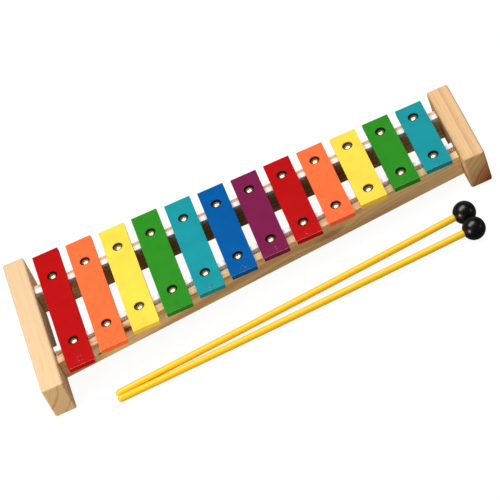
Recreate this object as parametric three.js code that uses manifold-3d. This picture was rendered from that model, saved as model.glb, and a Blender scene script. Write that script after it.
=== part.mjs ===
// A twelve-note bar instrument: painted metal bars on a tapered wooden frame,
// with two mallets lying in front of it. Millimetres, +Z up, the floor at z = 0,
// low notes towards -X and the player's side towards -Y. The exported group's
// origin is the middle of the whole set's footprint, on the floor.

import * as THREE from 'three';
import { mergeVertices } from 'three/addons/utils/BufferGeometryUtils.js';
import Module from 'manifold-3d';

// ---------------------------------------------------------------- dimensions

// Fitted pieces that touch are drawn this far apart.
const FIT_GAP = 0.25;

// A bar's pitch goes as thickness / length^2, so with one bar section a rise of
// twelve semitones shortens the bar by the square root of two.
const BAR_WIDTH = 30;
const BAR_THICKNESS = 6;
const LONGEST_BAR = 173.2;
const BAR_PITCH = 38.7;
const BAR_TOP = 48.4;
const BAR_CORNER = 0.5;
const BAR_BEVEL = 0.4;
const SEMITONES_PER_HALVING = 24;

// One row per bar, from the lowest: its name, semitones above it, and its paint.
const BARS = [
  { note: 'c6', semitones: 0, colour: 0xc0161a },
  { note: 'd6', semitones: 2, colour: 0xff7845 },
  { note: 'e6', semitones: 4, colour: 0xfee857 },
  { note: 'f6', semitones: 5, colour: 0x35972a },
  { note: 'g6', semitones: 7, colour: 0x2c9ea8 },
  { note: 'a6', semitones: 9, colour: 0x015fa5 },
  { note: 'b6', semitones: 11, colour: 0x822551 },
  { note: 'c7', semitones: 12, colour: 0xc41a1c },
  { note: 'd7', semitones: 14, colour: 0xff7948 },
  { note: 'e7', semitones: 16, colour: 0xffe656 },
  { note: 'f7', semitones: 17, colour: 0x329328 },
  { note: 'g7', semitones: 19, colour: 0x2199a2 },
];

// The screws stand on two straight lines: the rear one square to the blocks,
// the front one running in towards it from the low notes to the high ones.
const REAR_SCREW_Y = 51.6;
const FRONT_SCREW_Y_LOWEST = -48.3;
const FRONT_SCREW_Y_HIGHEST = -11.7;

// Each bar has two stepped holes: a wide one for the screw's head to sink into,
// and a narrow one for its shank.
const HEAD_HOLE_RADIUS = 5.75;
const HEAD_HOLE_DEPTH = 3.5;
const SHANK_HOLE_RADIUS = 2.6;

// Pan-head wood screws, 3.5 x 25. The gap under the head lets a bar ring.
const SCREW_HEAD_RADIUS = 3.75;
const SCREW_HEAD_HEIGHT = 2.4;
const SCREW_SHANK_RADIUS = 1.75;
const SCREW_LENGTH = 25;
const SCREW_TIP = 4;
const BAR_LIFT = 0.6;

// Two battens carry the bars, each with a strip of felt along its inner edge.
const RAIL_THICKNESS = 18;
const RAIL_HEIGHT = 27;
const RAIL_BEVEL = 0.8;
const FELT_WIDTH = 7;
const FELT_HEIGHT = 6;
const FELT_BEVEL = 0.6;
const FELT_END_GAP = 1.2;
const REAR_RAIL_SHIFT = -1;
const FRONT_RAIL_SHIFT = 0.3;

// The end blocks stand on the floor and hold the battens clear of it.
const BLOCK_THICKNESS = 24.5;
const BLOCK_HEIGHT = 45.5;
const BLOCK_INNER_X = 237.8;
const BLOCK_ROUNDING = 2.4;
const LEFT_BLOCK = { length: 195, centreY: 1.7 };
const RIGHT_BLOCK = { length: 115.4, centreY: 22.8 };

// Two glued dowels, one above the other, join each batten end to its block.
const DOWEL_RADIUS = 3;
const DOWEL_LENGTH = 32;
const DOWEL_SPACING = 12;

// Mallets: a bead on a round stick, lying on the floor. Each row gives the
// bead's centre and the stick's heading from the X axis.
const BEAD_RADIUS = 12.5;
const STICK_RADIUS = 3.9;
const STICK_REACH = 412;
const STICK_SOCKET = 6;
const MALLETS = [
  { name: 'mallet_a', beadX: 216.8, beadY: -73.1, heading: 4.2 },
  { name: 'mallet_b', beadX: 217.8, beadY: -98.8, heading: 1.75 },
];

// Places that follow from the dimensions above.
const BAR_UNDERSIDE = BAR_TOP - BAR_THICKNESS;
const FELT_BASE = BAR_UNDERSIDE - FIT_GAP - FELT_HEIGHT;
const RAIL_TOP = FELT_BASE - FIT_GAP;
const RAIL_BASE = RAIL_TOP - RAIL_HEIGHT;
const SCREW_SEAT = BAR_TOP - HEAD_HOLE_DEPTH + BAR_LIFT;
const FIRST_BAR_X = -BAR_PITCH * (BARS.length - 1) / 2;
const FRONT_SLOPE = (FRONT_SCREW_Y_HIGHEST - FRONT_SCREW_Y_LOWEST) / (BAR_PITCH * (BARS.length - 1));

const rearScrewY = () => REAR_SCREW_Y;
const frontScrewY = (x) => FRONT_SCREW_Y_LOWEST + FRONT_SLOPE * (x - FIRST_BAR_X);

// ----------------------------------------------------------------- materials

const PINE = { color: 0xe9c48f, roughness: 0.6, metalness: 0 };
const FELT = { color: 0xf1eeee, roughness: 0.95, metalness: 0 };
const SCREW_METAL = { color: 0xd8c9a4, roughness: 0.25, metalness: 1 };
const BEECH = { color: 0xd9b487, roughness: 0.7, metalness: 0 };
const STICK_PAINT = { color: 0xf7cd4b, roughness: 0.35, metalness: 0 };
const BEAD_PAINT = { color: 0x0c0c0d, roughness: 0.15, metalness: 0 };
const barPaint = (colour) => ({ color: colour, roughness: 0.4, metalness: 0.1 });

// --------------------------------------------------------- solids and cutting

const wasm = await Module();
wasm.setup();

// A closed solid from a geometry, with shared vertices merged and any triangle
// that has shrunk to a line left out.
function solidOf(geometry) {
  const bare = geometry.clone();
  bare.deleteAttribute('normal');
  bare.deleteAttribute('uv');
  const merged = mergeVertices(bare);
  const corners = merged.index.array;
  const triangles = [];
  for (let i = 0; i < corners.length; i += 3) {
    const [a, b, c] = corners.slice(i, i + 3);
    if (a !== b && b !== c && c !== a) triangles.push(a, b, c);
  }
  const mesh = new wasm.Mesh({
    numProp: 3,
    vertProperties: merged.getAttribute('position').array,
    triVerts: new Uint32Array(triangles),
  });
  return new wasm.Manifold(mesh);
}

function geometryOf(solid) {
  const mesh = solid.getMesh();
  const geometry = new THREE.BufferGeometry();
  geometry.setAttribute('position', new THREE.BufferAttribute(mesh.vertProperties, 3));
  geometry.setIndex(new THREE.BufferAttribute(mesh.triVerts, 1));
  geometry.computeVertexNormals();
  return geometry;
}

function cut(geometry, cutters) {
  let solid = solidOf(geometry);
  for (const cutter of cutters) solid = solid.subtract(solidOf(cutter));
  return geometryOf(solid);
}

// ---------------------------------------------------------------- basic shapes

function rectangle(width, length, corner) {
  const x = width / 2 - corner;
  const y = length / 2 - corner;
  const outline = new THREE.Shape();
  outline.absarc(x, y, corner, 0, Math.PI / 2);
  outline.absarc(-x, y, corner, Math.PI / 2, Math.PI);
  outline.absarc(-x, -y, corner, Math.PI, 1.5 * Math.PI);
  outline.absarc(x, -y, corner, 1.5 * Math.PI, 2 * Math.PI);
  return outline;
}

// A plan outline between two offsets of a line y = line(x), cut square to X.
function band(line, lowOffset, highOffset, halfLength) {
  const corners = [
    [-halfLength, lowOffset],
    [halfLength, lowOffset],
    [halfLength, highOffset],
    [-halfLength, highOffset],
  ];
  return new THREE.Shape(corners.map(([x, offset]) => new THREE.Vector2(x, line(x) + offset)));
}

// A plan outline raised to a height, standing on z = 0, with its edges eased.
function slab(outline, height, bevel, bevelSegments = 1) {
  const geometry = new THREE.ExtrudeGeometry(outline, {
    depth: height - 2 * bevel,
    bevelThickness: bevel,
    bevelSize: bevel,
    bevelOffset: -bevel,
    bevelSegments,
    curveSegments: 1,
  });
  return geometry.translate(0, 0, bevel);
}

// A round bar along Z, from z = low to z = high.
function uprightCylinder(radius, low, high, sides) {
  const geometry = new THREE.CylinderGeometry(radius, radius, high - low, sides);
  return geometry.rotateX(Math.PI / 2).translate(0, 0, (low + high) / 2);
}

// A round bar along X, centred on x = 0.
function levelCylinder(radius, length, sides) {
  return new THREE.CylinderGeometry(radius, radius, length, sides).rotateZ(Math.PI / 2);
}

// A turned shape about Z from a profile of [radius, z] points.
function turned(profile, sides) {
  const points = profile.map(([radius, z]) => new THREE.Vector2(radius, z));
  return new THREE.LatheGeometry(points, sides).rotateX(Math.PI / 2);
}

function piece(name, geometry, finish) {
  const mesh = new THREE.Mesh(geometry, new THREE.MeshStandardMaterial(finish));
  mesh.name = name;
  return mesh;
}

// ---------------------------------------------------------------------- pieces

const barX = (index) => FIRST_BAR_X + BAR_PITCH * index;

// A bar, its underside on z = 0, with its two stepped holes.
function barGeometry(length, holeSpacing) {
  const blank = slab(rectangle(BAR_WIDTH, length, BAR_CORNER), BAR_THICKNESS, BAR_BEVEL);
  const cutters = [-1, 1].flatMap((side) => [
    uprightCylinder(HEAD_HOLE_RADIUS, BAR_THICKNESS - HEAD_HOLE_DEPTH, BAR_THICKNESS + 1, 16),
    uprightCylinder(SHANK_HOLE_RADIUS, -1, BAR_THICKNESS, 12),
  ].map((cutter) => cutter.translate(0, side * holeSpacing / 2, 0)));
  return cut(blank, cutters);
}

function makeBar({ note, semitones, colour }, index) {
  const x = barX(index);
  const length = LONGEST_BAR * 2 ** (-semitones / SEMITONES_PER_HALVING);
  const front = frontScrewY(x);
  const rear = rearScrewY(x);
  const bar = piece(`bar_${note}`, barGeometry(length, rear - front), barPaint(colour));
  bar.position.set(x, (front + rear) / 2, BAR_UNDERSIDE);
  return bar;
}

// A pan-head screw, the underside of its head on z = 0.
function screwGeometry() {
  return turned([
    [0, -SCREW_LENGTH],
    [SCREW_SHANK_RADIUS, -SCREW_LENGTH + SCREW_TIP],
    [SCREW_SHANK_RADIUS, 0],
    [SCREW_HEAD_RADIUS, 0],
    [SCREW_HEAD_RADIUS, SCREW_HEAD_HEIGHT * 0.4],
    [SCREW_HEAD_RADIUS * 0.78, SCREW_HEAD_HEIGHT * 0.85],
    [SCREW_HEAD_RADIUS * 0.35, SCREW_HEAD_HEIGHT],
    [0, SCREW_HEAD_HEIGHT],
  ], 12);
}

function makeScrews(side, line) {
  return BARS.map(({ note }, index) => {
    const x = barX(index);
    const screw = piece(`screw_${side}_${note}`, screwGeometry(), SCREW_METAL);
    screw.position.set(x, line(x), SCREW_SEAT);
    return screw;
  });
}

// Where a batten's two dowels cross the joint with a block, on the given side.
function dowelCentres(line, shift, side) {
  const x = side * BLOCK_INNER_X;
  return [-1, 1].map((level) => new THREE.Vector3(
    x,
    line(x) + shift,
    RAIL_BASE + RAIL_HEIGHT / 2 + level * DOWEL_SPACING / 2,
  ));
}

function dowelHoles(centres) {
  return centres.map((centre) => levelCylinder(
    DOWEL_RADIUS + FIT_GAP,
    DOWEL_LENGTH + 4 * FIT_GAP,
    12,
  ).translate(...centre));
}

function makeRail(name, line, shift) {
  const half = RAIL_THICKNESS / 2;
  const outline = band(line, shift - half, shift + half, BLOCK_INNER_X - FIT_GAP);
  const blank = slab(outline, RAIL_HEIGHT, RAIL_BEVEL).translate(0, 0, RAIL_BASE);
  const pilotBase = SCREW_SEAT - SCREW_LENGTH - FIT_GAP;
  const pilots = BARS.map((_, index) => {
    const x = barX(index);
    const pilot = uprightCylinder(SCREW_SHANK_RADIUS + FIT_GAP, pilotBase, RAIL_TOP + 1, 10);
    return pilot.translate(x, line(x), 0);
  });
  const sockets = [-1, 1].flatMap((side) => dowelHoles(dowelCentres(line, shift, side)));
  return piece(name, cut(blank, [...pilots, ...sockets]), PINE);
}

// The felt lies along the batten's inner edge: the front batten's rear edge,
// and the rear batten's front edge.
function makeFelt(name, line, lowOffset) {
  const halfLength = BLOCK_INNER_X - FELT_END_GAP;
  const outline = band(line, lowOffset, lowOffset + FELT_WIDTH, halfLength);
  return piece(name, slab(outline, FELT_HEIGHT, FELT_BEVEL).translate(0, 0, FELT_BASE), FELT);
}

function makeBlock(name, side, { length, centreY }) {
  const outline = rectangle(BLOCK_THICKNESS, length, BLOCK_ROUNDING);
  const x = side * (BLOCK_INNER_X + BLOCK_THICKNESS / 2);
  const blank = slab(outline, BLOCK_HEIGHT, BLOCK_ROUNDING, 2).translate(x, centreY, 0);
  const sockets = [
    ...dowelHoles(dowelCentres(rearScrewY, REAR_RAIL_SHIFT, side)),
    ...dowelHoles(dowelCentres(frontScrewY, FRONT_RAIL_SHIFT, side)),
  ];
  return piece(name, cut(blank, sockets), PINE);
}

function makeDowels(railName, line, shift) {
  return [['left', -1], ['right', 1]].flatMap(([sideName, side]) => {
    const [lower, upper] = dowelCentres(line, shift, side);
    return [['lower', lower], ['upper', upper]].map(([level, centre]) => {
      const geometry = levelCylinder(DOWEL_RADIUS, DOWEL_LENGTH, 12);
      const dowel = piece(`dowel_${railName}_${sideName}_${level}`, geometry, BEECH);
      dowel.position.copy(centre);
      return dowel;
    });
  });
}

// A mallet along its own Z axis: the stick's tail at z = 0, the bead's centre
// at z = STICK_REACH.
function stickGeometry() {
  const tail = [0, 30, 60, 90].map((angle) => {
    const turn = THREE.MathUtils.degToRad(angle);
    return [STICK_RADIUS * Math.sin(turn), STICK_RADIUS * (1 - Math.cos(turn))];
  });
  const end = STICK_REACH + STICK_SOCKET;
  return turned([...tail, [STICK_RADIUS, end], [0, end]], 14);
}

function beadGeometry() {
  const ball = new THREE.SphereGeometry(BEAD_RADIUS, 20, 14);
  ball.rotateX(Math.PI / 2).translate(0, 0, STICK_REACH);
  const socketEnd = STICK_REACH + STICK_SOCKET + FIT_GAP;
  const socket = uprightCylinder(STICK_RADIUS + FIT_GAP, STICK_REACH - 2 * BEAD_RADIUS, socketEnd, 14);
  return cut(ball, [socket]);
}

function makeMallet({ name, beadX, beadY, heading }) {
  const rise = Math.asin((BEAD_RADIUS - STICK_RADIUS) / STICK_REACH);
  const turn = THREE.MathUtils.degToRad(heading);
  const direction = new THREE.Vector3(
    Math.cos(rise) * Math.cos(turn),
    Math.cos(rise) * Math.sin(turn),
    Math.sin(rise),
  );
  const mallet = new THREE.Group();
  mallet.add(piece(`${name}_stick`, stickGeometry(), STICK_PAINT));
  mallet.add(piece(`${name}_head`, beadGeometry(), BEAD_PAINT));
  mallet.quaternion.setFromUnitVectors(new THREE.Vector3(0, 0, 1), direction);
  mallet.position.set(beadX, beadY, BEAD_RADIUS).addScaledVector(direction, -STICK_REACH);
  return mallet;
}

// -------------------------------------------------------------------- assembly

const railHalf = RAIL_THICKNESS / 2;
const instrument = new THREE.Group();
instrument.add(
  makeBlock('left_end_block', -1, LEFT_BLOCK),
  makeBlock('right_end_block', 1, RIGHT_BLOCK),
  makeRail('front_rail', frontScrewY, FRONT_RAIL_SHIFT),
  makeRail('rear_rail', rearScrewY, REAR_RAIL_SHIFT),
  makeFelt('front_felt_strip', frontScrewY, FRONT_RAIL_SHIFT + railHalf - FELT_WIDTH),
  makeFelt('rear_felt_strip', rearScrewY, REAR_RAIL_SHIFT - railHalf),
  ...makeDowels('front', frontScrewY, FRONT_RAIL_SHIFT),
  ...makeDowels('rear', rearScrewY, REAR_RAIL_SHIFT),
  ...BARS.map(makeBar),
  ...makeScrews('front', frontScrewY),
  ...makeScrews('rear', rearScrewY),
  ...MALLETS.map(makeMallet),
);

// Set the middle of the footprint over the origin.
instrument.updateMatrixWorld(true);
const footprint = new THREE.Box3().setFromObject(instrument, true).getCenter(new THREE.Vector3());
instrument.position.set(-footprint.x, -footprint.y, 0);

export default instrument;
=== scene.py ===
"""Looks for a twelve-note bar instrument and its two mallets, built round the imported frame."""

import math
import random

import bmesh
import bpy
from mathutils import Matrix, Vector, noise


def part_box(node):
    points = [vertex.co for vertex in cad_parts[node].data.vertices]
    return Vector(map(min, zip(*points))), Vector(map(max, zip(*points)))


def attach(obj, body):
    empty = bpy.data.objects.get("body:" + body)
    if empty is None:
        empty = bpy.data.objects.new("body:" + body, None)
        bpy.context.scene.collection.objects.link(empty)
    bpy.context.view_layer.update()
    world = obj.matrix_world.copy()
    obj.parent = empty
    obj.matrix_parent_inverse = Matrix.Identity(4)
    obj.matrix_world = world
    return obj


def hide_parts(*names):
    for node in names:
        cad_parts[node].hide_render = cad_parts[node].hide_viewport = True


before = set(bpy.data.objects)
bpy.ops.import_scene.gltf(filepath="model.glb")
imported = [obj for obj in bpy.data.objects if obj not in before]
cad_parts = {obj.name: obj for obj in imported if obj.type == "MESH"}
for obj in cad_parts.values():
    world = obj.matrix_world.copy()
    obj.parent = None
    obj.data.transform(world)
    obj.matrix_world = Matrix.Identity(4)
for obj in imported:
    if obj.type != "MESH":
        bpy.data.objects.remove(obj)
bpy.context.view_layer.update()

MM = 0.001
UP = Vector((0, 0, 1))

NOTES = ["c6", "d6", "e6", "f6", "g6", "a6", "b6", "c7", "d7", "e7", "f7", "g7"]

# The material slot and colour (linear) of each note letter's paint.
PAINTS = {
    "c": ("red_paint", (0.445, 0.004, 0.005)),
    "d": ("orange_paint", (1.000, 0.158, 0.046)),
    "e": ("yellow_paint", (0.980, 0.668, 0.070)),
    "f": ("green_paint", (0.025, 0.246, 0.015)),
    "g": ("teal_paint", (0.010, 0.285, 0.330)),
    "a": ("blue_paint", (0.000, 0.092, 0.325)),
    "b": ("purple_paint", (0.182, 0.011, 0.065)),
}

# Bars: eased edges, two stepped holes, and a note letter near the player's end.
BAR_CORNER = 0.5 * MM
BAR_BEVEL = 0.4 * MM
HEAD_HOLE_RADIUS = 5.75 * MM
HEAD_HOLE_DEPTH = 3.5 * MM
SHANK_HOLE_RADIUS = 2.6 * MM
HOLE_RIM = 0.3 * MM
LETTER_HEIGHT = 8 * MM
LETTER_DEPTH = 0.35 * MM
LETTER_FROM_END = 0.047
# How much paler the letters' paint is: a painted highlight on the stamped edges.
LETTER_HIGHLIGHT_PALENESS = 0.015
FONT_SIZE_TO_CAPITAL = 1.4

# Pan-head screws.
SCREW_HEAD_RADIUS = 3.75 * MM
SCREW_HEAD_HEIGHT = 2.4 * MM
SCREW_RIM_TILT = math.radians(34)
SCREW_SHANK_RADIUS = 1.75 * MM
SCREW_LENGTH = 25 * MM
SCREW_NECK = 10 * MM
THREAD_PITCH = 1.5 * MM
THREAD_DEPTH = 0.45 * MM
CROSS_WING = Vector((3.7, 1.05, 2.6)) * MM
SCREW_TIP_RADIUS = 0.05 * MM
SCREW_TIP_LENGTH = 4 * MM

# Wood and felt.
RAIL_THICKNESS = 18 * MM
RAIL_BEVEL = 0.8 * MM
BLOCK_ROUNDING = 2.4 * MM
FELT_WIDTH = 7 * MM
FELT_ROUNDING = 0.7 * MM
FELT_FOOT_ROUNDING = 0.12 * MM
FELT_STEP = 0.9 * MM
FELT_END_PINCH = 0.14
FELT_END_LIFT = 0.5 * MM
FELT_LIFT_LENGTH = 9 * MM
FELT_SWELL = 0.05 * MM
FELT_WANDER = 0.12 * MM

# Mallets.
STICK_RADIUS = 3.9 * MM
STICK_SAG = 1.4 * MM
BEAD_RADIUS = 12.5 * MM
STICK_SOCKET = 6 * MM
SOCKET_CLEARANCE = 0.25 * MM
SOCKET_RIM = 0.35 * MM
SEAM_DEPTH = 0.05 * MM
SEAM_HALF_ANGLE = 0.018


# ------------------------------------------------------------------ mesh helpers


def new_object(name, mesh):
    made = bpy.data.objects.new(name, mesh)
    bpy.context.scene.collection.objects.link(made)
    return made


def mesh_from(bm, name):
    mesh = bpy.data.meshes.new(name)
    bm.to_mesh(mesh)
    bm.free()
    return mesh


def apply_modifiers(made):
    graph = bpy.context.evaluated_depsgraph_get()
    mesh = bpy.data.meshes.new_from_object(made.evaluated_get(graph))
    made.modifiers.clear()
    made.data = mesh
    return made


def smooth(made, angle=35):
    """Smooth shading with creases, and flat faces kept flat up to their eased edges."""
    made.data.shade_smooth()
    made.data.set_sharp_from_angle(angle=math.radians(angle))
    keep_flat = made.modifiers.new("flat_faces", "WEIGHTED_NORMAL")
    keep_flat.keep_sharp = True
    keep_flat.weight = 80
    return made


def place(made, body, slot, replaced, material=None):
    """The piece rides on a body, stands for a CAD node, and wears a material."""
    if material is not None:
        made.data.materials.clear()
        made.data.materials.append(material)
    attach(made, body)
    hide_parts(replaced)
    return made


def centre_of(node):
    low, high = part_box(node)
    return (low + high) / 2


def bevel(bm, edges, offset, segments):
    bmesh.ops.bevel(
        bm, geom=edges, offset=offset, segments=segments, profile=0.5, affect="EDGES", clamp_overlap=True
    )


def is_upright(edge):
    a, b = (v.co for v in edge.verts)
    return abs(a.z - b.z) > 0.5 * (a - b).length


def prism(corners, low, high):
    """A solid with a four-cornered plan, from z = low to z = high."""
    bm = bmesh.new()
    floor = [bm.verts.new((x, y, low)) for x, y in corners]
    roof = [bm.verts.new((x, y, high)) for x, y in corners]
    bm.faces.new(list(reversed(floor)))
    bm.faces.new(roof)
    for i in range(4):
        j = (i + 1) % 4
        bm.faces.new((floor[i], floor[j], roof[j], roof[i]))
    return bm


def block(size):
    x, y, z = size / 2
    return prism([(-x, -y), (x, -y), (x, y), (-x, y)], -z, z)


def turned(profile, sides):
    """A turned solid about Z from (radius, z) points, listed from the bottom up."""
    bm = bmesh.new()
    rings = []
    for radius, z in profile:
        if radius < 1e-7:
            rings.append([bm.verts.new((0, 0, z))])
            continue
        angles = [2 * math.pi * i / sides for i in range(sides)]
        rings.append([bm.verts.new((radius * math.cos(a), radius * math.sin(a), z)) for a in angles])
    for below, above in zip(rings, rings[1:]):
        for i in range(sides):
            j = (i + 1) % sides
            corners = [
                below[i % len(below)],
                below[j % len(below)],
                above[j % len(above)],
                above[i % len(above)],
            ]
            bm.faces.new(list(dict.fromkeys(corners)))
    return bm


def skin(bm, rings):
    """Joins each ring of points to the next and closes both ends."""
    around = len(rings[0])
    for first, second in zip(rings, rings[1:]):
        for i in range(around):
            j = (i + 1) % around
            bm.faces.new((first[i], second[i], second[j], first[j]))
    bm.faces.new(rings[0])
    bm.faces.new(list(reversed(rings[-1])))


def cut(made, cutters):
    """Takes the cutters' volumes away from the object. The faces they leave keep the cutters' materials."""
    for cutter in cutters:
        difference = made.modifiers.new("cut", "BOOLEAN")
        difference.operation = "DIFFERENCE"
        difference.solver = "EXACT"
        difference.material_mode = "TRANSFER"
        difference.object = cutter
    apply_modifiers(made)
    for cutter in cutters:
        bpy.data.objects.remove(cutter)
    return made


# -------------------------------------------------------------- material helpers


class Look:
    """A material in the making: a Principled shader and the nodes that feed it. Places are in millimetres."""

    def __init__(self, name):
        self.material = bpy.data.materials.new(name)
        self.material.use_nodes = True
        self.tree = self.material.node_tree
        self.shader = self.tree.nodes["Principled BSDF"]
        spot = self.add("ShaderNodeTexCoord")
        self.place = self.vector("SCALE", spot.outputs["Object"], scale=1 / MM)
        self.normal = spot.outputs["Normal"]

    def feed(self, socket, value):
        """Links another node's output to the socket, or sets the socket to a plain value."""
        if isinstance(value, bpy.types.NodeSocket):
            self.tree.links.new(value, socket)
        else:
            socket.default_value = value

    def add(self, kind, inputs=None, **settings):
        node = self.tree.nodes.new(kind)
        for key, value in settings.items():
            setattr(node, key, value)
        for key, value in (inputs or {}).items():
            self.feed(node.inputs[key], value)
        return node

    def math(self, operation, a, b=0.0, c=0.0, clamp=False):
        node = self.add("ShaderNodeMath", {0: a, 1: b, 2: c}, operation=operation, use_clamp=clamp)
        return node.outputs[0]

    def vector(self, operation, a, b=(0, 0, 0), scale=1.0):
        node = self.add("ShaderNodeVectorMath", {0: a, 1: b, 3: scale}, operation=operation)
        return node.outputs["Value" if operation in ("LENGTH", "DOT_PRODUCT") else "Vector"]

    def noise(self, place, size, detail=2.0, roughness=0.5, distortion=0.0):
        """Soft noise from 0 to 1 whose features are about `size` millimetres across."""
        inputs = {
            "Vector": place,
            "Scale": 1 / size,
            "Detail": detail,
            "Roughness": roughness,
            "Distortion": distortion,
        }
        return self.add("ShaderNodeTexNoise", inputs).outputs[0]

    def span(self, value, low, high, to_low=0.0, to_high=1.0):
        """Maps low..high to to_low..to_high in a smooth step and holds the ends."""
        inputs = {"Value": value, "From Min": low, "From Max": high, "To Min": to_low, "To Max": to_high}
        return self.add("ShaderNodeMapRange", inputs, interpolation_type="SMOOTHSTEP").outputs[0]

    def ramp(self, value, stops):
        """A curve through (position, level) stops."""
        node = self.add("ShaderNodeValToRGB", {"Fac": value})
        elements = node.color_ramp.elements
        while len(elements) < len(stops):
            elements.new(0.5)
        for element, (position, level) in zip(elements, stops):
            element.position = position
            element.color = (level, level, level, 1)
        return node.outputs[0]

    def mix(self, share, a, b, blend="MIX"):
        first = (*a, 1) if isinstance(a, tuple) else a
        second = (*b, 1) if isinstance(b, tuple) else b
        node = self.add("ShaderNodeMix", {0: share, 6: first, 7: second}, data_type="RGBA", blend_type=blend)
        return node.outputs[2]

    def scattered(self):
        """The place, moved by a random amount for each object, so that no two pieces match."""
        chance = self.add("ShaderNodeObjectInfo").outputs["Random"]
        shift = self.add("ShaderNodeCombineXYZ", {0: self.math("MULTIPLY", chance, 900.0)}).outputs[0]
        return self.vector("ADD", self.place, shift)

    def bump(self, height, distance, below=None):
        """Adds a bump of `distance` millimetres over the one below it."""
        inputs = {"Height": height, "Strength": 1.0, "Distance": distance * MM}
        if below is not None:
            inputs["Normal"] = below
        return self.add("ShaderNodeBump", inputs).outputs[0]

    def finish(self, **channels):
        """Feeds the shader's inputs, named with underscores for spaces, and gives the material."""
        for key, value in channels.items():
            socket = self.shader.inputs[key.replace("_", " ")]
            is_colour = isinstance(value, tuple) and socket.type == "RGBA"
            self.feed(socket, (*value, 1) if is_colour else value)
        return self.material


def darker(colour, share):
    return tuple(part * share for part in colour)


def paler(colour, share):
    return tuple(part + (1 - part) * share for part in colour)


# --------------------------------------------------------------------- materials


def paint(name, colour):
    """Sprayed satin enamel: faint orange peel, soft mottling, and paler along the sawn ends' edges, partly
    from thin, rubbed paint and partly a painted highlight.
    """
    look = Look(name)
    spot = look.scattered()
    mottle = look.noise(spot, 22, detail=3)
    tone = look.mix(look.span(mottle, 0.3, 0.7), darker(colour, 0.94), darker(colour, 1.03))
    thinned = look.span(look.noise(spot, 3.5, detail=4), 0.25, 0.60, 0.45, 1.0)
    lean = look.add("ShaderNodeSeparateXYZ", {0: look.vector("ABSOLUTE", look.normal)}).outputs[1]
    end_edges = look.math("MULTIPLY", look.span(lean, 0.12, 0.35), look.span(lean, 0.995, 0.93))
    # Paler sawn end edges: partly thin, rubbed paint and partly a painted highlight.
    worn_and_highlight = look.math("MULTIPLY", end_edges, thinned)
    tone = look.mix(worn_and_highlight, tone, paler(colour, 0.6))
    peel = look.noise(spot, 0.9, detail=1)
    dust = look.noise(spot, 0.22, detail=2)
    rubbed = look.noise(spot, 7, detail=4, roughness=0.6)
    normal = look.bump(dust, 0.004, look.bump(peel, 0.02))
    return look.finish(
        Base_Color=tone,
        Roughness=look.span(rubbed, 0.3, 0.7, 0.34, 0.44),
        Specular_IOR_Level=look.math("MULTIPLY_ADD", worn_and_highlight, 0.3, 0.07),
        Normal=normal,
    )


def hole_shade_paint(name, colour):
    """Painted shade inside a bar's holes: the bar's colour darkened, darkest deep down and lighter towards
    the rim.
    """
    look = Look(name)
    streak = look.noise(look.vector("MULTIPLY", look.scattered(), (1, 1, 0.3)), 1.2, detail=4)
    tone = look.mix(look.span(streak, 0.35, 0.7), darker(colour, 0.10), darker(colour, 0.24))
    height = look.add("ShaderNodeSeparateXYZ", {0: look.place}).outputs[2]
    tone = look.mix(look.span(height, 0.6, 3.0), tone, darker(colour, 0.62))
    normal = look.bump(look.noise(look.vector("MULTIPLY", look.place, (0.2, 0.2, 1)), 0.35), 0.02)
    return look.finish(Base_Color=tone, Roughness=0.45, Specular_IOR_Level=0.2, Normal=normal)


END_GRAIN_TONE = (0.90, 0.92, 0.90)
HEARTWOOD_TONE = (0.54, 0.23, 0.08)
KNOT_TONE = (0.150, 0.042, 0.012)


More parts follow.
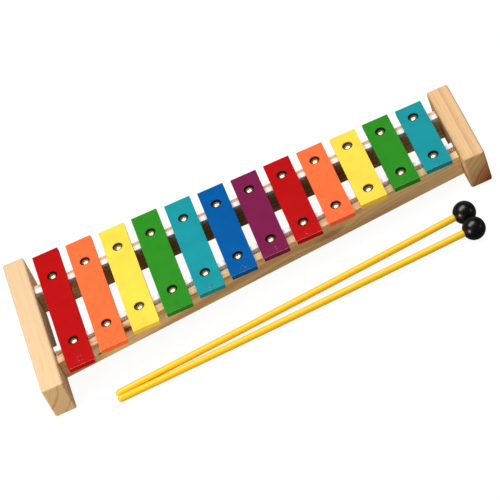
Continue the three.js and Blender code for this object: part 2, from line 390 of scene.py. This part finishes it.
def pine(name, along, pith, ring_gap, pale, late, heart=0.0, knots=(), bands=0.5):
    """Solid wood: growth rings about a pith line along one axis, so faces, edges and end grain agree.

    along is the grain's axis, 0, 1 or 2; pith is a point on the pith line; heart is the radius of the
    darker heartwood; and each knot is (place, radii, bend, depth), where bend is how far it pushes the
    rings aside and depth is how dark it is, from 0 to 1. All but depth are in millimetres. bands is how
    strongly the rings show on the long faces.
    """
    look = Look(name)
    across = Vector((1, 1, 1))
    across[along] = 0
    stretched = Vector((1, 1, 1))
    stretched[along] = 0.05
    long_place = look.vector("MULTIPLY", look.place, stretched)
    from_pith = look.vector("MULTIPLY", look.vector("SUBTRACT", look.place, pith), across)
    radius = look.vector("LENGTH", from_pith)
    warp = look.noise(long_place, 16, detail=3)
    radius = look.math("MULTIPLY_ADD", warp, 5.0, radius)
    ripened = look.span(radius, heart + 14, heart - 14)
    dark_knots = None
    for spot, radii, bend, depth in knots:
        reach = look.vector("DIVIDE", look.vector("SUBTRACT", look.place, spot), radii)
        far = look.vector("LENGTH", reach)
        bulge = look.math("POWER", 2.718, look.math("MULTIPLY", look.math("MULTIPLY", far, far), -0.35))
        radius = look.math("MULTIPLY_ADD", bulge, bend, radius)
        core = look.math("MULTIPLY", look.span(far, 1.25, 0.45), depth)
        dark_knots = core if dark_knots is None else look.math("MAXIMUM", dark_knots, core)
    drift = look.add("ShaderNodeTexNoise", {"W": radius, "Scale": 0.09}, noise_dimensions="1D").outputs[0]
    radius = look.math("MULTIPLY_ADD", drift, 3 * ring_gap, radius)
    phase = look.math("FRACT", look.math("DIVIDE", radius, ring_gap))
    crisp = look.ramp(phase, [(0.0, 0.0), (0.60, 0.10), (0.80, 0.45), (0.86, 1.0), (0.95, 1.0), (1.0, 0.0)])
    soft = look.ramp(phase, [(0.0, 0.0), (0.30, 0.15), (0.65, 0.85), (0.85, 1.0), (1.0, 0.0)])
    year = look.span(look.noise(long_place, 30, detail=1), 0.3, 0.7, 0.55, 1.0)

    thin = Vector((1, 1, 1))
    thin[along] = 0.03
    fibre_place = look.vector("MULTIPLY", look.place, thin)
    fibre = look.noise(fibre_place, 0.55, detail=4, roughness=0.65)
    streak = look.span(look.noise(fibre_place, 1.7, detail=2), 0.60, 0.74)
    short = Vector((1, 1, 1))
    short[along] = 0.14
    fleck = look.span(look.noise(look.vector("MULTIPLY", look.place, short), 0.9, detail=2), 0.66, 0.76)
    cloud = look.noise(long_place, 45, detail=2)
    end_grain = look.span(
        look.vector("DOT_PRODUCT", look.vector("ABSOLUTE", look.normal), tuple(Vector((1, 1, 1)) - across)),
        0.55,
        0.9,
    )

    on_ends = look.math("MULTIPLY", crisp, end_grain)
    side_grain = look.math("SUBTRACT", 1.0, end_grain)
    on_sides = look.math("MULTIPLY", look.math("MULTIPLY", soft, side_grain), bands)
    ring = look.math("MULTIPLY", look.math("ADD", on_ends, on_sides), year)
    darkness = look.math("MULTIPLY", ring, 0.95)
    darkness = look.math("MULTIPLY_ADD", look.span(fibre, 0.35, 0.75), 0.20, darkness)
    darkness = look.math("MULTIPLY_ADD", streak, 0.16, darkness)
    darkness = look.math("MULTIPLY_ADD", fleck, 0.30, darkness)
    darkness = look.math("MULTIPLY_ADD", look.span(cloud, 0.3, 0.7), 0.20, darkness, clamp=True)
    tone = look.mix(darkness, pale, late)
    deepened = look.mix(1.0, tone, END_GRAIN_TONE, blend="MULTIPLY")
    tone = look.mix(end_grain, tone, deepened)
    tone = look.mix(ripened, tone, look.mix(1.0, tone, HEARTWOOD_TONE, blend="MULTIPLY"))
    if dark_knots is not None:
        tone = look.mix(dark_knots, tone, KNOT_TONE)
    normal = look.bump(fibre, 0.05, look.bump(ring, 0.06))
    return look.finish(
        Base_Color=tone,
        Roughness=look.span(fibre, 0.3, 0.7, 0.50, 0.66),
        Specular_IOR_Level=0.3,
        Normal=normal,
    )


def felt(name):
    """Dense white felt: matted fibres, a soft sheen, and a faint lilac tint."""
    look = Look(name)
    spot = look.scattered()
    matted = look.noise(spot, 0.55, detail=5, roughness=0.7, distortion=1.2)
    clump = look.noise(spot, 3.0, detail=3)
    tone = look.mix(look.span(matted, 0.35, 0.65), (0.90, 0.88, 0.90), (0.97, 0.96, 0.97))
    tone = look.mix(look.math("MULTIPLY", look.span(clump, 0.35, 0.7), 0.25), tone, (0.86, 0.83, 0.86))
    normal = look.bump(matted, 0.012, look.bump(clump, 0.04))
    return look.finish(
        Base_Color=tone,
        Roughness=0.95,
        Specular_IOR_Level=0.15,
        Subsurface_Weight=0.4,
        Subsurface_Radius=(1, 1, 1),
        Subsurface_Scale=4 * MM,
        Sheen_Weight=0.35,
        Sheen_Roughness=0.5,
        Normal=normal,
    )


def plated_metal(name):
    """Bright yellow-plated steel with turning marks and a little tarnish."""
    look = Look(name)
    spot = look.scattered()
    tarnish = look.noise(spot, 1.1, detail=4, roughness=0.6)
    tone = look.mix(look.span(tarnish, 0.35, 0.7), (0.90, 0.76, 0.50), (0.55, 0.38, 0.18))
    flat_place = look.vector("MULTIPLY", look.place, (1, 1, 0))
    turning = look.add("ShaderNodeTexWave", {"Vector": flat_place, "Scale": 3.0, "Distortion": 0.4})
    turning.wave_type = "RINGS"
    turning.rings_direction = "Z"
    normal = look.bump(turning.outputs[1], 0.003)
    return look.finish(
        Base_Color=tone,
        Metallic=1.0,
        Roughness=look.span(tarnish, 0.3, 0.7, 0.32, 0.46),
        Normal=normal,
    )


def stick_paint(name):
    """Yellow varnish over a turned stick, with the grain just showing through."""
    look = Look(name)
    spot = look.scattered()
    grain = look.noise(look.vector("MULTIPLY", spot, (0.03, 1, 1)), 1.6, detail=2)
    cloud = look.noise(look.vector("MULTIPLY", spot, (0.2, 1, 1)), 9, detail=3)
    tone = look.mix(look.span(grain, 0.3, 0.75), (1.00, 0.60, 0.007), (0.98, 0.56, 0.005))
    tone = look.mix(look.math("MULTIPLY", look.span(cloud, 0.4, 0.8), 0.3), tone, (0.96, 0.50, 0.004))
    normal = look.bump(grain, 0.002)
    return look.finish(
        Base_Color=tone,
        Roughness=look.span(cloud, 0.3, 0.7, 0.42, 0.52),
        Specular_IOR_Level=0.55,
        Normal=normal,
    )


def bead_lacquer(name):
    """Glossy black moulded bead with faint swirls and a little dust."""
    look = Look(name)
    spot = look.scattered()
    swirl = look.noise(look.vector("MULTIPLY", spot, (0.15, 1, 1)), 2.2, detail=4, distortion=0.6)
    dust = look.noise(spot, 0.35, detail=2)
    tone = look.mix(look.span(dust, 0.66, 0.78), (0.0012, 0.0013, 0.0010), (0.012, 0.011, 0.010))
    normal = look.bump(look.noise(spot, 6, detail=1), 0.03)
    return look.finish(
        Base_Color=tone,
        Roughness=look.span(swirl, 0.3, 0.7, 0.25, 0.32),
        Specular_IOR_Level=0.48,
        Normal=normal,
    )


# ------------------------------------------------------------------------ pieces


def hole_cutter(x, y, top, bottom, material):
    """A stepped hole with an eased rim: wide for the screw's head, narrow for its shank."""
    floor = top - HEAD_HOLE_DEPTH
    wide = HEAD_HOLE_RADIUS
    profile = [
        (0, bottom - MM),
        (SHANK_HOLE_RADIUS, bottom - MM),
        (SHANK_HOLE_RADIUS, floor),
        (wide, floor),
        (wide, top - HOLE_RIM),
        (wide + 0.3 * HOLE_RIM, top - 0.3 * HOLE_RIM),
        (wide + HOLE_RIM, top),
        (wide + HOLE_RIM, top + MM),
        (0, top + MM),
    ]
    bm = turned(profile, 64)
    bmesh.ops.translate(bm, verts=bm.verts, vec=(x, y, 0))
    cutter = new_object("cutter", mesh_from(bm, "cutter"))
    cutter.data.materials.append(material)
    return cutter


def letter_cutter(letter, y, top, material):
    """The note's letter as a shallow stamp, upright for the player."""
    text = bpy.data.curves.new("letter", "FONT")
    text.body = letter
    text.align_x = "CENTER"
    text.align_y = "CENTER"
    text.size = LETTER_HEIGHT * FONT_SIZE_TO_CAPITAL
    text.extrude = LETTER_DEPTH
    text.resolution_u = 4
    shape = new_object("letter", text)
    mesh = bpy.data.meshes.new_from_object(shape)
    bpy.data.objects.remove(shape)
    bm = bmesh.new()
    bm.from_mesh(mesh)
    bmesh.ops.remove_doubles(bm, verts=bm.verts, dist=0.002 * MM)
    bmesh.ops.translate(bm, verts=bm.verts, vec=(0, y, top))
    cutter = new_object("cutter", mesh_from(bm, "cutter"))
    cutter.data.materials.append(material)
    return cutter


def make_bar(note, slot, enamel, shade_in_holes, stamped):
    """A painted bar with eased edges, cut by its two screw holes and its stamped letter."""
    low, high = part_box(f"bar_{note}")
    middle = (low + high) / 2
    size = high - low
    bm = block(size)
    bevel(bm, [e for e in bm.edges if is_upright(e)], BAR_CORNER, 4)
    top, bottom = size.z / 2, -size.z / 2
    rims = [e for e in bm.edges if all(abs(abs(v.co.z) - top) < 1e-6 for v in e.verts)]
    bevel(bm, rims, BAR_BEVEL, 4)
    bar = new_object(f"painted_bar_{note}", mesh_from(bm, f"painted_bar_{note}"))
    bar.data.materials.append(enamel)
    holes = []
    for side in ("front", "rear"):
        screw = centre_of(f"screw_{side}_{note}") - middle
        holes.append(hole_cutter(screw.x, screw.y, top, bottom, shade_in_holes))
    stamp = letter_cutter(note[0].upper(), -size.y * (0.5 - LETTER_FROM_END), top, stamped)
    cut(bar, [*holes, stamp])
    bar.location = middle
    smooth(bar)
    return place(bar, f"bar_{note}", slot, f"bar_{note}")


def screw_head():
    """A domed head with a cross recess, its underside on z = 0."""
    ball = SCREW_HEAD_RADIUS / math.sin(SCREW_RIM_TILT)
    ball_centre = SCREW_HEAD_HEIGHT - ball
    tilts = [SCREW_RIM_TILT * (1 - step / 12) for step in range(12)]
    head_profile = [
        (0, 0),
        (SCREW_HEAD_RADIUS * 0.93, 0),
        (SCREW_HEAD_RADIUS, 0.15 * MM),
        *[(ball * math.sin(tilt), ball_centre + ball * math.cos(tilt)) for tilt in tilts],
        (0, SCREW_HEAD_HEIGHT),
    ]
    head = new_object("screw_head", mesh_from(turned(head_profile, 48), "screw_head"))
    wings = []
    for across in (0, 1):
        bm = block(CROSS_WING)
        for vert in bm.verts:
            if vert.co.z < 0:
                vert.co.x *= 0.35
                vert.co.y *= 0.7
        matrix = Matrix.Translation((0, 0, SCREW_HEAD_HEIGHT)) @ Matrix.Rotation(math.pi / 2 * across, 4, "Z")
        bmesh.ops.transform(bm, matrix=matrix, verts=bm.verts)
        wings.append(new_object("cutter", mesh_from(bm, "cutter")))
    return cut(head, wings)


def add_shank(bm):
    """A plain neck and a thread that tapers to its tip, hanging from z = 0."""
    around, along = 20, 90
    rings = []
    for row in range(along + 1):
        down = SCREW_LENGTH * row / along
        taper = min(1.0, (SCREW_LENGTH - down) / SCREW_TIP_LENGTH)
        ring = []
        for step in range(around):
            share = step / around
            phase = (down / THREAD_PITCH + share) % 1.0
            ridge = max(0.0, 1 - 3.2 * abs(phase - 0.5))
            groove = THREAD_DEPTH * (1 - ridge) if down > SCREW_NECK else 0.0
            radius = max(SCREW_TIP_RADIUS, (SCREW_SHANK_RADIUS - groove) * taper)
            turn = 2 * math.pi * share
            ring.append(bm.verts.new((radius * math.cos(turn), radius * math.sin(turn), -down)))
        rings.append(ring)
    skin(bm, rings)


def screw_mesh():
    head = screw_head()
    bm = bmesh.new()
    add_shank(bm)
    bm.from_mesh(head.data)
    mesh = mesh_from(bm, "screw")
    bpy.data.objects.remove(head)
    return mesh


def make_screws(material):
    mesh = screw_mesh()
    mesh.materials.append(material)
    chance = random.Random(7)
    mesh.shade_smooth()
    mesh.set_sharp_from_angle(angle=math.radians(40))
    for side in ("front", "rear"):
        for note in NOTES:
            node = f"screw_{side}_{note}"
            middle, seat = centre_of(node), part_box(node)[1].z - SCREW_HEAD_HEIGHT
            screw = new_object(f"cross_{node}", mesh)
            screw.location = (middle.x, middle.y, seat)
            screw.rotation_euler = (0, 0, chance.uniform(0, math.pi / 2))
            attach(screw, "frame")
            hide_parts(node)


def make_block(node, material):
    low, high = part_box(node)
    bm = block(high - low)
    bevel(bm, list(bm.edges), BLOCK_ROUNDING, 6)
    made = new_object(f"pine_{node}", mesh_from(bm, f"pine_{node}"))
    made.location = (low + high) / 2
    smooth(made)
    return place(made, "frame", "pine", node, material)


def slanted_plan(low, high, width):
    """The plan of a strip between two faces square to X, from its box and its width along Y."""
    return [(low.x, low.y), (high.x, high.y - width), (high.x, high.y), (low.x, low.y + width)]


def make_rail(node, material):
    low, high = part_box(node)
    middle = (low + high) / 2
    plan = [(x - middle.x, y - middle.y) for x, y in slanted_plan(low, high, RAIL_THICKNESS)]
    bm = prism(plan, low.z - middle.z, high.z - middle.z)
    bevel(bm, list(bm.edges), RAIL_BEVEL, 4)
    made = new_object(f"pine_{node}", mesh_from(bm, f"pine_{node}"))
    made.location = middle
    smooth(made)
    return place(made, "frame", "pine_batten", node, material)


def felt_outline(width, height):
    """Points round a cross-section, centred, as (y, z): soft corners above, and nearly square ones below."""
    points = []
    for side_y, side_z, start in ((1, 1, 0), (-1, 1, 90), (-1, -1, 180), (1, -1, 270)):
        rounding = FELT_ROUNDING if side_z > 0 else FELT_FOOT_ROUNDING
        corner_y = side_y * (width / 2 - rounding)
        corner_z = side_z * (height / 2 - rounding)
        for step in range(6):
            angle = math.radians(start + 18 * step)
            points.append((corner_y + rounding * math.cos(angle), corner_z + rounding * math.sin(angle)))
    dense = []
    for (y0, z0), (y1, z1) in zip(points, points[1:] + points[:1]):
        steps = max(1, round(math.hypot(y1 - y0, z1 - z0) / FELT_STEP))
        dense += [(y0 + (y1 - y0) * i / steps, z0 + (z1 - z0) * i / steps) for i in range(steps)]
    return dense


def make_felt(node, material):
    """A cut strip of felt: a wandering edge, pressed flat under each bar, and its ends a little lifted."""
    low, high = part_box(node)
    middle = (low + high) / 2
    length, height = high.x - low.x, high.z - low.z
    rise = (high.y - FELT_WIDTH) - low.y
    bars = [centre_of(f"bar_{note}").x for note in NOTES]
    outline = felt_outline(FELT_WIDTH, height)
    bm = bmesh.new()
    rings = []
    count = round(length / FELT_STEP)
    for row in range(count + 1):
        share = row / count
        x = low.x + length * share
        y = low.y + rise * share + FELT_WIDTH / 2
        from_end = min(x - low.x, high.x - x)
        pinch = 1 - FELT_END_PINCH * max(0.0, 1 - from_end / FELT_STEP)
        lift = FELT_END_LIFT * max(0.0, 1 - from_end / FELT_LIFT_LENGTH) ** 2
        nearest = min(abs(x - bar) for bar in bars)
        swell = FELT_SWELL * max(0.0, min(1.0, (nearest - 15 * MM) / (3 * MM)))
        wander = FELT_WANDER * noise.noise(Vector((x / (38 * MM), 3.1, y / MM * 0.01)))
        ring = []
        for dy, dz in outline:
            spot = Vector((x, y + dy, dz)) / MM
            fuzz = 0.015 * noise.noise(spot / 1.6) + 0.005 * noise.noise(spot / 0.7)
            above_foot = min(1.0, max(0.0, dz / height + 0.5) / 0.3)
            out = Vector((0, dy, dz)).normalized() * fuzz * above_foot * MM
            top_share = max(0.0, dz / (height / 2))
            ring.append(bm.verts.new((
                x - middle.x,
                y + dy * pinch + wander + out.y - middle.y,
                dz * pinch + out.z + (lift + swell) * top_share,
            )))
        rings.append(ring)
    skin(bm, rings)
    bmesh.ops.recalc_face_normals(bm, faces=bm.faces)
    made = new_object(f"white_{node}", mesh_from(bm, f"white_{node}"))
    made.location = middle
    made.data.shade_smooth()
    return place(made, "frame", "felt", node, material)


def lay_along(bm, turn):
    """Swings a piece that was made along Z into the mallet's own direction."""
    bmesh.ops.recalc_face_normals(bm, faces=bm.faces)
    bmesh.ops.rotate(bm, verts=bm.verts, cent=(0, 0, 0), matrix=turn.to_matrix())


def make_stick(name, tail, turn, reach, seed, material):
    """A round-ended stick that sags between its tail and its bead, and wavers a little."""
    rounded = [math.radians(90 * step / 8) for step in range(9)]
    profile = [(STICK_RADIUS * math.sin(a), STICK_RADIUS * (1 - math.cos(a))) for a in rounded]
    end = reach + STICK_SOCKET
    profile += [(STICK_RADIUS, STICK_RADIUS + (end - STICK_RADIUS) * step / 60) for step in range(1, 61)]
    profile.append((0, end))
    bm = turned(profile, 96)
    down = turn.inverted() @ -UP
    for vert in bm.verts:
        share = min(1.0, vert.co.z / reach)
        ripple = 0.06 * MM * noise.noise(Vector((vert.co.z / (23 * MM), 0, seed)))
        vert.co += down * (4 * STICK_SAG * share * (1 - share)) + Vector((ripple, 0, 0))
    lay_along(bm, turn)
    stick = new_object(f"yellow_{name}_stick", mesh_from(bm, f"yellow_{name}_stick"))
    stick.location = tail
    smooth(stick)
    place(stick, name, "mallet_stick_yellow", f"{name}_stick", material)


def make_bead(name, centre, turn, material):
    """A moulded ball with a fine seam and a socket for the stick."""
    mouth = STICK_RADIUS + SOCKET_CLEARANCE
    start = math.asin(mouth / BEAD_RADIUS)
    rim = -BEAD_RADIUS * math.cos(start) + SOCKET_RIM
    profile = [(0, STICK_SOCKET), (mouth, STICK_SOCKET), (mouth, rim)]
    for step in range(45):
        angle = start + 0.03 + (math.pi - start - 0.03) * step / 44
        seam = SEAM_DEPTH * math.exp(-((angle - math.pi / 2) / SEAM_HALF_ANGLE) ** 2)
        radius = BEAD_RADIUS - seam
        profile.append((max(0.0, radius * math.sin(angle)), -radius * math.cos(angle)))
    profile[-1] = (0, BEAD_RADIUS)
    bm = turned(profile, 64)
    lay_along(bm, turn)
    bead = new_object(f"black_{name}_bead", mesh_from(bm, f"black_{name}_bead"))
    bead.location = centre
    smooth(bead, 50)
    place(bead, name, "mallet_head_black", f"{name}_head", material)


def make_mallet(name, stick_material, bead_material):
    """A stick and its bead, between the low end of the stick's box and the middle of the bead's."""
    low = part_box(f"{name}_stick")[0]
    bead_centre = centre_of(f"{name}_head")
    tail_centre = low + Vector((STICK_RADIUS, STICK_RADIUS, STICK_RADIUS))
    along = (bead_centre - tail_centre).normalized()
    reach = (bead_centre - tail_centre).length + STICK_RADIUS
    turn = along.to_track_quat("Z", "Y")
    make_stick(name, bead_centre - along * reach, turn, reach, low.y / MM, stick_material)
    make_bead(name, bead_centre, turn, bead_material)


# ---------------------------------------------------------------------- assembly

PALE_PINE = (0.790, 0.580, 0.340)
LATE_PINE = (0.600, 0.330, 0.165)
RIGHT_PALE_PINE = (0.880, 0.590, 0.310)
RIGHT_LATE_PINE = (0.480, 0.225, 0.080)
BATTEN_PALE = (0.960, 0.720, 0.410)
BATTEN_LATE = (0.600, 0.330, 0.135)
BEECH_PALE = (0.62, 0.40, 0.21)
BEECH_LATE = (0.50, 0.30, 0.14)
FRONT_KNOTS = [
    ((-194, -27, -3), (3.6, 5, 1.5), 3.0, 1.0),
    ((-158, -24, 12), (8.5, 7, 5.0), 5.0, 0.95),
    ((78, 0, -3), (18, 10, 5.0), 8.0, 0.32),
]

for letter, (slot_name, colour) in PAINTS.items():
    enamel = paint(slot_name, colour)
    # The holes' walls carry painted shade: darkened bar colour.
    shade_in_holes = hole_shade_paint(f"{slot_name}_in_holes", colour)
    # The letters' paint is a shade paler: a painted highlight for the stamped edges catching the light.
    stamped = paint(f"{slot_name}_in_letters", paler(colour, LETTER_HIGHLIGHT_PALENESS))
    for note in NOTES:
        if note[0] == letter:
            make_bar(note, slot_name, enamel, shade_in_holes, stamped)

make_screws(plated_metal("screw_brass"))
left_pine = pine("pine_left", 1, (-42, 0, 28), 12.0, PALE_PINE, LATE_PINE, bands=0.15)
right_pine = pine("pine_right", 1, (66, 0, -58), 8.0, RIGHT_PALE_PINE, RIGHT_LATE_PINE, heart=86, bands=0.6)
make_block("left_end_block", left_pine)
make_block("right_end_block", right_pine)
front_pine = pine("pine_front", 0, (0, 30, -34), 6.0, BATTEN_PALE, BATTEN_LATE, knots=FRONT_KNOTS, bands=0.6)
make_rail("front_rail", front_pine)
rear_pine = pine("pine_rear", 0, (0, -26, 38), 7.0, BATTEN_PALE, BATTEN_LATE)
make_rail("rear_rail", rear_pine)
white_felt = felt("white_felt")
make_felt("front_felt_strip", white_felt)
make_felt("rear_felt_strip", white_felt)
varnish = stick_paint("stick_yellow")
lacquer = bead_lacquer("bead_black")
for mallet in ("mallet_a", "mallet_b"):
    make_mallet(mallet, varnish, lacquer)

beech = pine("beech", 0, (0, 60, 90), 2.5, BEECH_PALE, BEECH_LATE)
for node_name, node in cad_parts.items():
    if node_name.startswith("dowel_"):
        node.data.materials.clear()
        node.data.materials.append(beech)


# ------------------------------------------------------- floor, light and camera

SEEN_TONE = (0.08, 0.08, 0.079)
BOUNCE_TONE = (0.224, 0.192, 0.144)
# Painted shadow: the bounce floor is darker beneath the instrument, in an oval SHADE_LENGTH by SHADE_DEPTH
# millimetres.
SHADED_BOUNCE_TONE = (0.014, 0.007, 0.003)
SHADE_LENGTH = 290
SHADE_DEPTH = 88


def plane(name, height, look, base, glow, under=None):
    """A wide level plane of the stage that glows in its own slightly varied colour.

    glow is how many times its colour it sends out, and under is its colour beneath the instrument. The
    glow isn't sampled as a lamp, because so wide a lamp would leave too few samples for the real ones.
    """
    bm = bmesh.new()
    bmesh.ops.create_grid(bm, x_segments=1, y_segments=1, size=12)
    made = new_object(name, mesh_from(bm, name))
    made.location.z = height
    cloud = look.noise(look.place, 180, detail=2)
    tone = look.mix(look.span(cloud, 0.3, 0.7), darker(base, 0.98), base)
    if under is not None:
        oval = (1 / SHADE_LENGTH, 1 / SHADE_DEPTH, 0)
        reach = look.vector("LENGTH", look.vector("MULTIPLY", look.place, oval))
        # Painted shadow of the instrument on the glowing floor.
        tone = look.mix(look.span(reach, 1.1, 0.6), tone, under)
    look.feed(look.shader.inputs["Emission Color"], tone)
    look.feed(look.shader.inputs["Emission Strength"], glow)
    made.data.materials.append(look.finish(Base_Color=tone, Roughness=0.9, Specular_IOR_Level=0.1))
    look.material.cycles.emission_sampling = "NONE"
    return made


def make_floor():
    """The pale floor that the camera sees, and under it the warmer one that lights the object from below."""
    seen = plane("floor", -0.1 * MM, Look("pale_floor"), SEEN_TONE, 11.9)
    seen.visible_diffuse = False
    seen.visible_glossy = False
    seen.visible_transmission = False
    seen.visible_shadow = False
    bounce = plane("floor_bounce", -0.2 * MM, Look("warm_bounce"), BOUNCE_TONE, 1.7, SHADED_BOUNCE_TONE)
    bounce.visible_camera = False
    bounce.visible_glossy = False


def softbox(name, position, width, depth, power, tint=(1, 1, 1)):
    """An area light that faces the middle of the instrument."""
    light = bpy.data.lights.new(name, "AREA")
    light.shape = "RECTANGLE"
    light.size = width
    light.size_y = depth
    light.energy = power
    light.color = tint
    made = new_object(name, light)
    made.location = position
    made.rotation_mode = "QUATERNION"
    made.rotation_quaternion = Vector(position).to_track_quat("Z", "Y")
    made.visible_camera = False
    return made


def make_camera(azimuth, elevation, roll, distance, aim, lens):
    """A camera that looks at its aim from the front and above, with its angles in degrees."""
    a, e, r = (math.radians(angle) for angle in (azimuth, elevation, roll))
    back = Vector((math.sin(a) * math.cos(e), -math.cos(a) * math.cos(e), math.sin(e)))
    right = UP.cross(back).normalized()
    above = back.cross(right)
    across = math.cos(r) * right + math.sin(r) * above
    upward = math.cos(r) * above - math.sin(r) * right
    data = bpy.data.cameras.new("camera")
    data.lens = lens
    data.sensor_width = 36
    data.clip_start = 0.05
    data.clip_end = 60
    made = new_object("camera", data)
    made.rotation_mode = "QUATERNION"
    made.rotation_quaternion = Matrix((across, upward, back)).transposed().to_quaternion()
    made.location = Vector(aim) + back * distance
    bpy.context.scene.camera = made


make_floor()
softbox("overhead", (-0.06, 0.20, 1.50), 1.5, 0.62, 26)
softbox("left_front", (-0.95, -0.75, 0.42), 0.36, 0.30, 8, (1.0, 0.90, 0.75))
softbox("right_front", (1.40, -0.55, 0.36), 0.20, 0.20, 0.6)

world = bpy.data.worlds.new("world")
world.use_nodes = True
background = world.node_tree.nodes["Background"]
background.inputs["Color"].default_value = (0.94, 0.97, 1.0, 1)
background.inputs["Strength"].default_value = 0.10
bpy.context.scene.world = world
bpy.context.scene.view_settings.view_transform = "Standard"

bar_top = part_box("bar_c6")[1].z
rear_screws = centre_of("screw_rear_c6").y
make_camera(
    azimuth=1.026,
    elevation=46.627,
    roll=-24.435,
    distance=2.3258,
    aim=(-0.00515, rear_screws - 0.08384, bar_top),
    lens=158.97,
)
